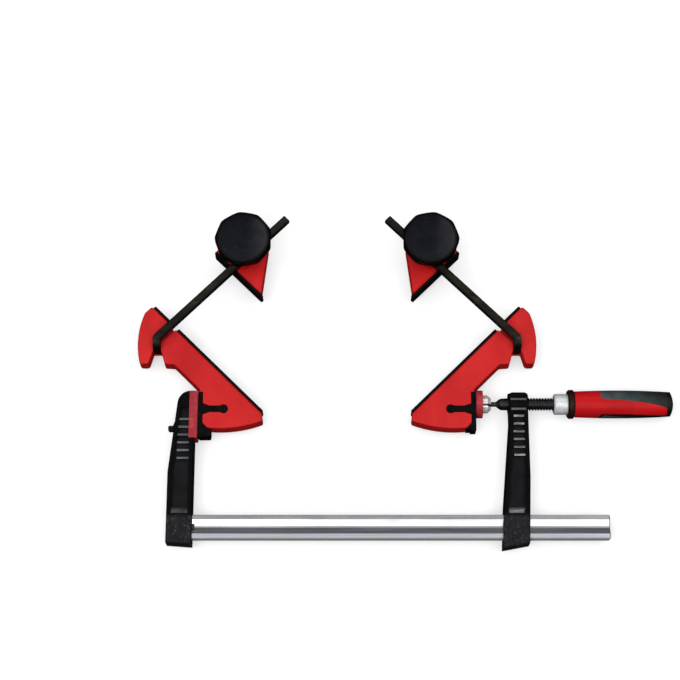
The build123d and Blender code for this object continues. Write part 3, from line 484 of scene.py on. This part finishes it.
# Ferrule
# A zinc plated steel sleeve, screwed on the thread and held by a cross pin that is ground flush.
# Light turning lines run round it, and the plating is faintly clouded.
ferrule_zinc = finish_coat("ferrule_zinc", (0.6, 0.61, 0.63), 0.24, 0.2)
ferrule_lines = marks(ferrule_zinc, 1000, 2, (1, 0.05, 0.05))
ferrule_cloud = marks(ferrule_zinc, 110, 5)
ferrule_grey = tint(ferrule_zinc, ferrule_cloud, (0.3, (0.52, 0.525, 0.545)), (0.7, (0.73, 0.74, 0.76)))
feed(ferrule_zinc, ferrule_grey, "Base Color")
polish(ferrule_zinc, ferrule_cloud, 0.3, 0.7, 0.18, 0.34)
relief(ferrule_zinc, ferrule_lines, 0.00003)
dress(ferrule_zinc, "handle_ferrule")

pin_steel = finish_coat("pin_steel", (0.55, 0.55, 0.56), 0.35, 1.0)
pin_scratches = marks(pin_steel, 1500, 3)
polish(pin_steel, pin_scratches, 0.3, 0.7, 0.28, 0.5)
relief(pin_steel, pin_scratches, 0.00003)
dress(pin_steel, "ferrule_pin")

# Handle
# A hard red barrel moulded round the tang, with two soft black inserts moulded into its beds, a
# hard black collar in front and a rounded black end. The red is glossy, and the inserts are matt.
black_end = 0.2743
lip_start = 0.2057
lip_slant = 0.547
lip_lean = 0.5
lip_blur = 0.0003
drop_start = 0.235
drop_end = 0.27
drop_depth = 0.0042
green_end = 0.245
soft_dark = (0.006, 0.005, 0.005)

grip_red = finish_coat("grip_red", (0.5, 0.008, 0.014), 0.22, specular=0.08)
grip_flow = marks(grip_red, 60, 5, (0.4, 1, 1))
grip_glow = tint(grip_red, grip_flow, (0.3, (0.4, 0.006, 0.008)), (0.7, (0.54, 0.009, 0.012)))

# The grip's lower front edge is painted the soft black, up to a line that drops to the right, as painted
# shade.
above_axis = run_past(grip_red, "Z", screw_z)
behind_axis = run_past(grip_red, "Y", screw_y)
lip_drop = spread(grip_red, place_along(grip_red, "X"), drop_start, drop_end, 0.0, drop_depth)
level_part = combine(grip_red, "ADD", above_axis, combine(grip_red, "MULTIPLY", behind_axis, lip_slant))
above_lip = combine(grip_red, "ADD", level_part, lip_drop)
below_lip = spread(grip_red, above_lip, lip_blur, -lip_blur)
front_half = spread(grip_red, behind_axis, 0, -0.0005)
lip_run = combine(grip_red, "SUBTRACT", place_along(grip_red, "X"),
                  combine(grip_red, "MULTIPLY", above_lip, lip_lean))
past_start = spread(grip_red, lip_run, lip_start - 0.0005, lip_start + 0.0005)
lip_shade = combine(grip_red, "MULTIPLY", below_lip, combine(grip_red, "MULTIPLY", front_half, past_start))
end_black_and_shade = combine(grip_red, "MAXIMUM", after(grip_red, "X", black_end, 0.0002), lip_shade)
feed(grip_red, wear(grip_red, end_black_and_shade, grip_glow, soft_dark), "Base Color")
polish(grip_red, marks(grip_red, 220, 6), 0.35, 0.75, 0.16, 0.34)
relief(grip_red, grip_flow, 0.0002, 0.3)
dress(grip_red, "handle_grip")

hard_black = finish_coat("hard_black", (0.006, 0.003, 0.003), 0.3, specular=0.12)
black_scuffs = marks(hard_black, 300, 7)
scuffed_black = tint(hard_black, black_scuffs, (0.35, (0.006, 0.0025, 0.002)), (0.7, (0.028, 0.009, 0.006)))
feed(hard_black, scuffed_black, "Base Color")
polish(hard_black, black_scuffs, 0.3, 0.75, 0.24, 0.45)
relief(hard_black, marks(hard_black, 1300, 2), 0.00004)
dress(hard_black, "handle_collar", "handle_end_cap")

insert_soft = finish_coat("insert_soft", (0.03, 0.045, 0.045), 0.5, specular=0.15)
insert_grain = marks(insert_soft, 1800, 2)
insert_cloud = marks(insert_soft, 130, 5)
insert_light = tint(insert_soft, insert_cloud, (0.3, (0.032, 0.048, 0.049)), (0.7, (0.06, 0.078, 0.08)))
insert_dark = tint(insert_soft, insert_cloud, (0.3, (0.006, 0.009, 0.007)), (0.7, (0.018, 0.022, 0.018)))
insert_green = wear(insert_soft, after(insert_soft, "X", green_end, 0.023), insert_light, insert_dark)
# The inserts are black past the black end, and their lower halves are painted the soft black as painted
# shade.
insert_end_and_shade = combine(insert_soft, "MAXIMUM", after(insert_soft, "X", black_end, 0.0002),
                       before(insert_soft, "Z", screw_z - 0.001, 0.001))
feed(insert_soft, wear(insert_soft, insert_end_and_shade, insert_green, soft_dark), "Base Color")
polish(insert_soft, insert_cloud, 0.3, 0.7, 0.42, 0.62)
relief(insert_soft, insert_grain, 0.00006)
dress(insert_soft, "handle_inserts")

# Jaw bodies
# Glass-filled red nylon, moulded in two halves of a tool: a fine spark-eroded texture on the flat
# faces, faint flow marks from the gate, and edges that have gone paler where the work rubs them.
jaw_nylon = finish_coat("jaw_nylon", (0.56, 0.005, 0.008), 0.45, specular=0.14)
jaw_flow = marks(jaw_nylon, 28, 5, (1, 0.6, 1))
jaw_speck = marks(jaw_nylon, 420, 6)
jaw_reds = tint(jaw_nylon, jaw_flow, (0.28, (0.42, 0.007, 0.008)), (0.5, (0.5, 0.0105, 0.0115)),
                (0.72, (0.57, 0.016, 0.0145)))
jaw_pale = spread(jaw_nylon, jaw_speck, 0.6, 0.78, 0.0, 0.5)
feed(jaw_nylon, wear(jaw_nylon, jaw_pale, jaw_reds, (0.66, 0.03, 0.036)), "Base Color")
polish(jaw_nylon, jaw_speck, 0.3, 0.75, 0.36, 0.56)
relief(jaw_nylon, marks(jaw_nylon, 2600, 2), 0.00007)
relief(jaw_nylon, jaw_flow, 0.0004, 0.25)
dress(jaw_nylon, "left_jaw_body", "right_jaw_body", "left_slider_body", "right_slider_body")

# Facings and contact pads
# Black rubber, moulded with a fine matt grain. The facings are glued to the jaws, and the contact
# pads are pushed into their keyholes from above. Sawdust has greyed them a little.
pad_rubber = finish_coat("pad_rubber", (0.003, 0.003, 0.003), 0.7, specular=0.05)
pad_dust = marks(pad_rubber, 180, 7)
pad_greys = tint(pad_rubber, pad_dust, (0.4, (0.0015, 0.0015, 0.0015)), (0.72, (0.006, 0.0055, 0.005)),
                 (0.85, (0.02, 0.018, 0.016)))
feed(pad_rubber, pad_greys, "Base Color")
polish(pad_rubber, pad_dust, 0.3, 0.7, 0.6, 0.85)
relief(pad_rubber, marks(pad_rubber, 2000, 3), 0.0001)
dress(pad_rubber, "left_face_pads", "right_face_pads", "left_contact_pad", "right_contact_pad",
      "left_slider_pad", "right_slider_pad")

# Hooked bars
# Square bright-drawn steel, hot bent twice at one end and blackened, and a cross pin stops it at the end. A
# brownish grey line along the middle of the top is a painted highlight.
middle_x = (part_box("left_jaw_body")[0][0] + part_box("right_jaw_body")[1][0]) / 2
bar_line = 0.2325
sheen_half = 0.0033

bar_black = finish_coat("bar_black", (0.01, 0.012, 0.01), 0.4, 0.2, 0.12)
bar_rubs = marks(bar_black, 200, 5, (0.15, 1, 1), turn=(0, 0, math.radians(45)))
# Painted highlight: a brownish grey line along the middle of the bar's top.
bar_sum = combine(bar_black, "ADD", run_off(bar_black, "X", middle_x), place_along(bar_black, "Y"))
off_line = combine(bar_black, "ABSOLUTE", combine(bar_black, "SUBTRACT", bar_sum, bar_line))
bar_sheen_line = spread(bar_black, off_line, sheen_half - 0.0011, sheen_half + 0.0011, 1.0, 0.0)
bar_dark = tint(bar_black, bar_rubs, (0.35, (0.002, 0.002, 0.0018)), (0.75, (0.008, 0.008, 0.007)))
bar_sheen_grey = tint(bar_black, bar_rubs, (0.35, (0.006, 0.0045, 0.0028)), (0.6, (0.017, 0.0135, 0.008)),
                (0.8, (0.055, 0.047, 0.032)))
feed(bar_black, wear(bar_black, bar_sheen_line, bar_dark, bar_sheen_grey), "Base Color")
polish(bar_black, bar_rubs, 0.3, 0.7, 0.34, 0.52)
relief(bar_black, bar_rubs, 0.00005)
dress(bar_black, "left_hook_bar", "right_hook_bar", "left_bar_stop_pin", "right_bar_stop_pin")

# Clamp screws
# An M8 square nut caught under the counter jaw, a thrust washer and the knob's stud, all zinc
# plated. The plating is bright on the turned faces and cloudy on the sheared edges.
nut_zinc = finish_coat("nut_zinc", (0.6, 0.61, 0.63), 0.3, 1.0)
nut_cloud = marks(nut_zinc, 260, 5)
nut_grey = tint(nut_zinc, nut_cloud, (0.3, (0.48, 0.49, 0.5)), (0.7, (0.7, 0.7, 0.71)))
feed(nut_zinc, nut_grey, "Base Color")
polish(nut_zinc, nut_cloud, 0.3, 0.7, 0.22, 0.45)
dress(nut_zinc, "left_clamp_nut", "right_clamp_nut", "left_knob_washer", "right_knob_washer",
      "left_knob_stud", "right_knob_stud")

# Knobs
# Nine-sided knobs of black glass-filled nylon, moulded round the head of the stud. The crown is finely
# textured with paler specks and is painted lighter grey towards its right side as a painted highlight, and
# its rim is painted darker as painted shade.
knob_reach_x = 0.0997
knob_y = 0.14625
rim_start = 0.0245
rim_end = 0.0268
highlight_start = 0.004
highlight_end = 0.024

knob_nylon = finish_coat("knob_nylon", (0.004, 0.0042, 0.006), 0.4, specular=0.07)
knob_cloud = marks(knob_nylon, 90, 6)
unit_x = run_past(knob_nylon, "X", middle_x)
off_x = combine(knob_nylon, "SUBTRACT", combine(knob_nylon, "ABSOLUTE", unit_x), knob_reach_x)
off_y = run_past(knob_nylon, "Y", knob_y)
reach = combine(knob_nylon, "SQRT", combine(knob_nylon, "ADD", combine(knob_nylon, "MULTIPLY", off_x, off_x),
                                            combine(knob_nylon, "MULTIPLY", off_y, off_y)))
to_right = combine(knob_nylon, "MULTIPLY", off_x, combine(knob_nylon, "SIGN", unit_x))
knob_dark = tint(knob_nylon, knob_cloud, (0.3, (0.0018, 0.0024, 0.005)), (0.7, (0.005, 0.0055, 0.009)))
knob_highlight_grey = tint(knob_nylon, knob_cloud, (0.3, (0.013, 0.0135, 0.0155)), (0.7, (0.03, 0.03, 0.034)))
# Painted highlight: the crown goes lighter grey towards its right side.
crown_and_highlight = wear(knob_nylon, spread(knob_nylon, to_right, highlight_start, highlight_end), knob_dark, knob_highlight_grey)
knob_specks = spread(knob_nylon, marks(knob_nylon, 520, 8), 0.6, 0.74)
crown_and_highlight = wear(knob_nylon, knob_specks, crown_and_highlight, (0.022, 0.022, 0.024))
# Painted shade: the rim goes darker all round.
knob_rim_shade = spread(knob_nylon, reach, rim_start, rim_end)
feed(knob_nylon, wear(knob_nylon, knob_rim_shade, crown_and_highlight, (0.0012, 0.0012, 0.0016)), "Base Color")
polish(knob_nylon, knob_cloud, 0.3, 0.7, 0.32, 0.5)
relief(knob_nylon, marks(knob_nylon, 1900, 2), 0.00008)
dress(knob_nylon, "left_knob", "right_knob")

# Studio
# A wide pale floor, and a soft white dome above it that darkens towards the horizon, so that walls
# and silhouettes are darker than tops. The sky is mixed by the same steps as the coats.
floor_size = 30.0
dome_light = 2.15
back_dimming = 0.78
front_light = 0.06
least_light = 0.02
key_side = 0.9
key_power = 6

floor_mesh = bpy.data.meshes.new("studio_floor")
floor_work = bmesh.new()
bmesh.ops.create_grid(floor_work, x_segments=1, y_segments=1, size=floor_size)
floor_work.to_mesh(floor_mesh)
floor_work.free()
floor = bpy.data.objects.new("studio_floor", floor_mesh)
bpy.context.collection.objects.link(floor)
floor_paint = finish_coat("floor_paint", (0.55, 0.55, 0.55), 0.9, specular=0.1)
floor_shader = floor_paint.node_tree.nodes["Principled BSDF"]
floor_shader.inputs["Emission Color"].default_value = (1, 1, 1, 1)
floor_shader.inputs["Emission Strength"].default_value = 0.5
floor_mesh.materials.append(floor_paint)
floor.visible_diffuse = False
floor.visible_glossy = False

world = bpy.data.worlds.new("studio")
bpy.context.scene.world = world
world.use_nodes = True
sky = world.node_tree.nodes
sky_way = sky.new("ShaderNodeTexCoord").outputs["Generated"]


def sky_patch(way, inner, outer):
    """1 within the inner angle of a direction, 0 beyond the outer angle, both in degrees."""
    dot = sky.new("ShaderNodeVectorMath")
    dot.operation = "DOT_PRODUCT"
    dot.inputs[1].default_value = way
    join(world, sky_way, dot.inputs[0])
    patch = spread(world, dot.outputs["Value"], math.cos(math.radians(outer)), math.cos(math.radians(inner)))
    patch.node.interpolation_type = "SMOOTHSTEP"
    return patch


dome = combine(world, "MULTIPLY", sky_patch((0, 0, 1), 34, 59), dome_light)
dim_patch = combine(world, "MULTIPLY", sky_patch((0, 0.34, 0.94), 9, 24), back_dimming)
dome = combine(world, "MULTIPLY", dome, combine(world, "SUBTRACT", 1, dim_patch))
low_front = combine(world, "MULTIPLY", sky_patch((0, -0.94, 0.34), 15, 50), front_light)
light = combine(world, "ADD", combine(world, "ADD", dome, low_front), least_light)

# Past the floor's far edge, a low view sees the sky itself: there it is plain white.
backdrop = sky.new("ShaderNodeLightPath").outputs["Is Camera Ray"]
sky["Background"].inputs["Color"].default_value = (1, 1, 1, 1)
join(world, combine(world, "MAXIMUM", light, backdrop), sky["Background"].inputs["Strength"])

key_lamp = bpy.data.lights.new("key_light", "AREA")
key_lamp.shape = "RECTANGLE"
key_lamp.size = key_side
key_lamp.size_y = key_side
key_lamp.energy = key_power
key_light = bpy.data.objects.new("key_light", key_lamp)
key_light.location = (-0.7, -0.9, 1.5)
key_light.rotation_euler = (-key_light.location).to_track_quat("-Z", "Y").to_euler()
bpy.context.collection.objects.link(key_light)

# Camera
# A long lens, high in front of the clamp, that shows 0.93 pixels to the millimetre at the target.
elevation = math.radians(70.7)
distance = 1.8726
camera_target = Vector((middle_x + 0.0031, screw_y + 0.0772, 0))
camera_way = Vector((0, -math.cos(elevation), math.sin(elevation)))
sensor_width = 36
photo_width = 680
pixels_per_metre = 930

camera_data = bpy.data.cameras.new("camera")
camera_data.sensor_width = sensor_width
camera_data.lens = sensor_width * pixels_per_metre * distance / photo_width
camera = bpy.data.objects.new("camera", camera_data)
camera.location = camera_target + distance * camera_way
camera.rotation_euler = (math.pi / 2 - elevation, 0, 0)
bpy.context.collection.objects.link(camera)
bpy.context.scene.camera = camera
bpy.context.scene.view_settings.view_transform = "Standard"
